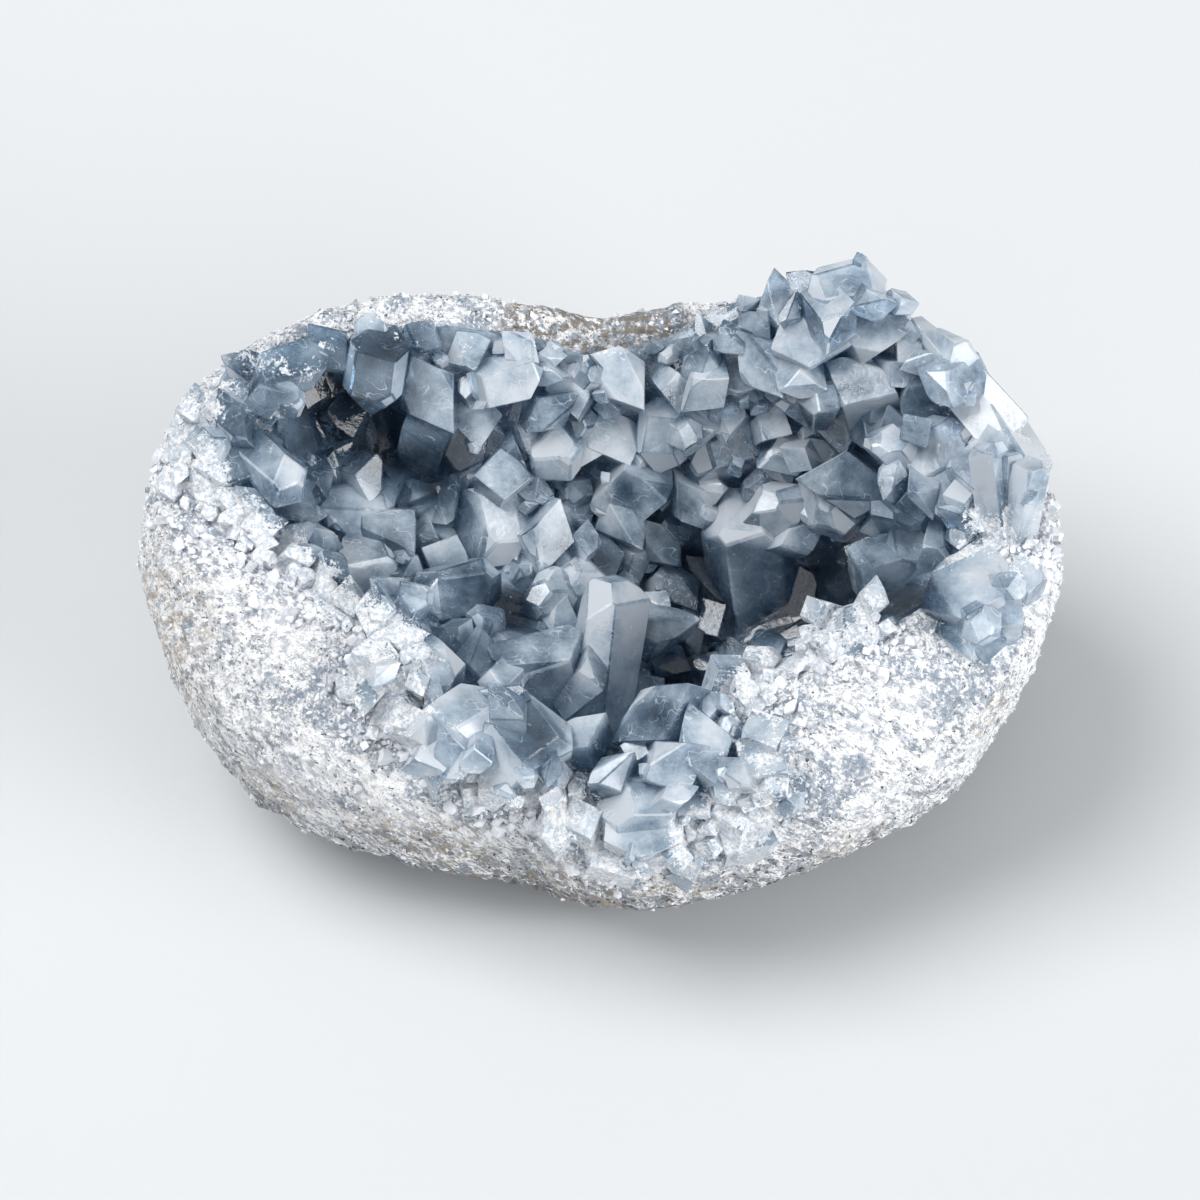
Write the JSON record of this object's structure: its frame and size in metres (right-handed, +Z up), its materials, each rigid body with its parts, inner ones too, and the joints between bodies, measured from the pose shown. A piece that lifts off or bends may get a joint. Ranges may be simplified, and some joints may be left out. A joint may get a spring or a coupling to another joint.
{
  "type": "celestite geode",
  "caption": "Broken half of a celestite nodule: a thick white granular rind whose hollow is lined with pale blue crystals, resting on a small flat spot.",
  "frame": {"origin": "middle of the geode's box at the height of the flat spot it rests on", "axes": "+X along the geode's length to the right, +Y to the high back rim, +Z up out of the hollow"},
  "size_m": [0.17, 0.1132, 0.0875],
  "materials": {
    "rind": "matt, granular, white with grey specks and tan stains",
    "crystal": "clear to cloudy pale blue, glassy faces"
  },
  "bodies": {
    "root": {"rind": "rind", "crystal_crust": "crystal"}
  },
  "joints": []
}
